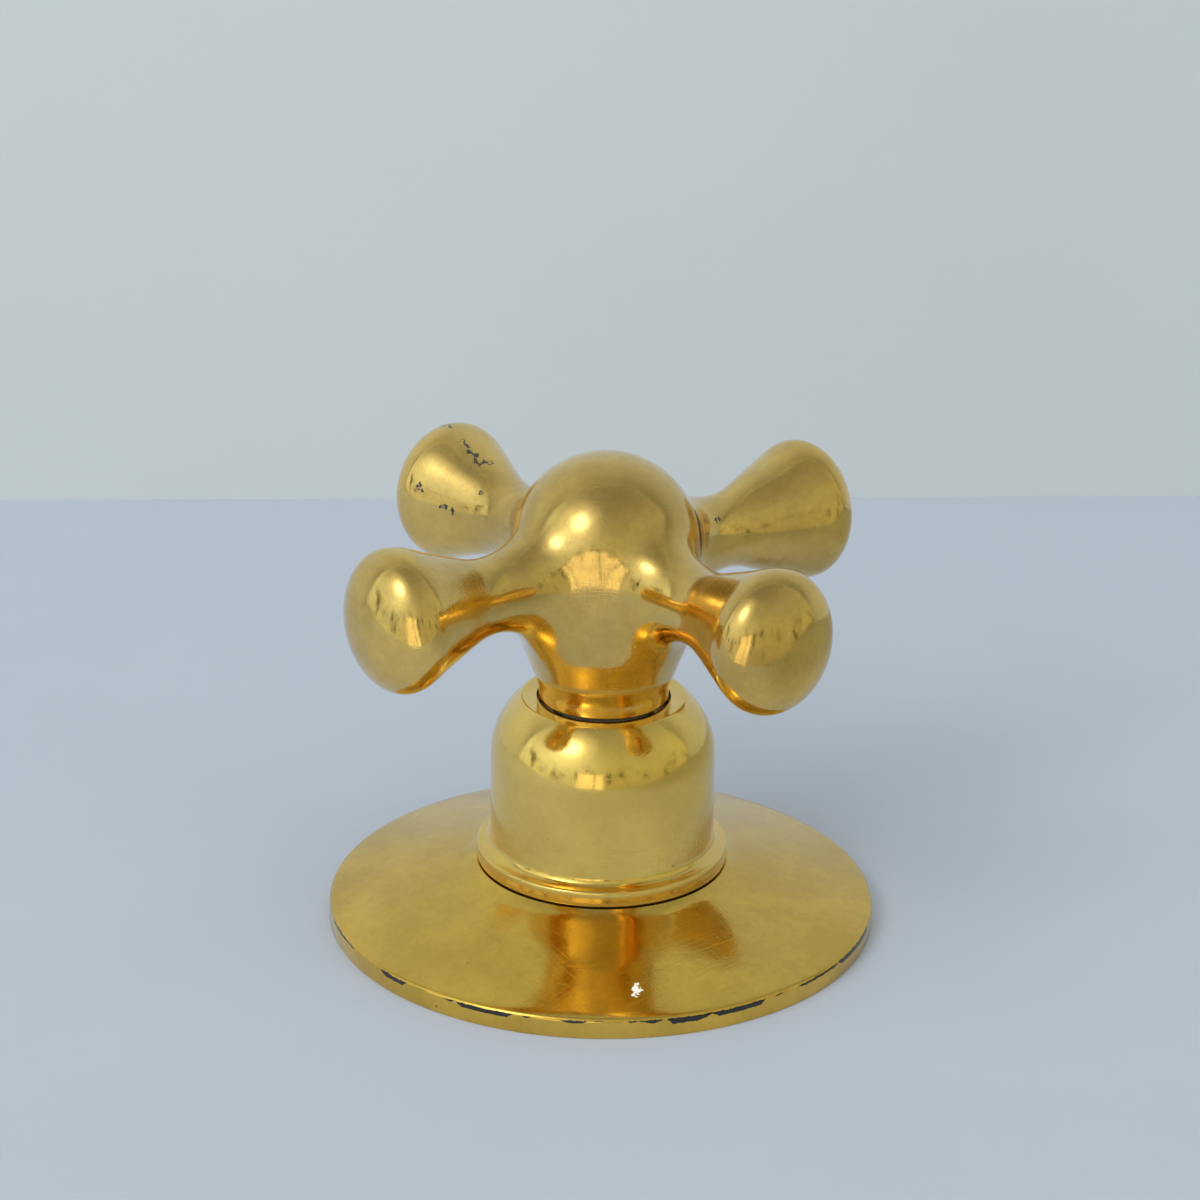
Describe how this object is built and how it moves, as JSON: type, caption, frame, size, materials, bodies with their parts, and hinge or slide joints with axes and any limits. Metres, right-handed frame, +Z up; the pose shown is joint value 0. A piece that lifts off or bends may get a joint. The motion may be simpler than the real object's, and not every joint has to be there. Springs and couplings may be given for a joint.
{
  "type": "basin or bath valve handle station",
  "caption": "Polished brass cross-handle valve station: four-arm handle on a quarter-turn headwork, bell shroud and round escutcheon.",
  "frame": {"origin": "centre of the escutcheon's underside, on the deck", "axes": "+Z up along the spindle; the arms of the closed handle point along X and Y"},
  "size_m": [0.075, 0.075, 0.0627],
  "materials": {
    "polished_brass": "polished, lacquer worn",
    "machined_brass": "machined",
    "black_rubber": "matte",
    "valve_ceramic": "lapped",
    "stainless_steel": "brushed",
    "white_acetal": "matte"
  },
  "bodies": {
    "station": {"bell_shroud": "polished_brass", "escutcheon": "polished_brass", "headwork_housing": "machined_brass", "escutcheon_gasket": "black_rubber", "shroud_washer": "black_rubber", "housing_seal": "black_rubber", "seat_seal": "black_rubber", "seat_disc": "valve_ceramic", "seal_support_ring": "stainless_steel"},
    "handle_set": {"cross_handle": "polished_brass", "handle_locking_screw": "stainless_steel", "spline_bush": "white_acetal", "spindle": "machined_brass", "spindle_clip": "stainless_steel", "glide_washer": "white_acetal", "thrust_ring": "white_acetal", "spindle_o_ring_lower": "black_rubber", "spindle_o_ring_upper": "black_rubber", "rotor_disc": "valve_ceramic"}
  },
  "joints": [
    {"name": "handle_turn", "type": "hinge", "parent": "station", "child": "handle_set", "pos_m": [0, 0, 0.0301], "axis": [0, 0, 1], "range_deg": [0, 90]}
  ]
}
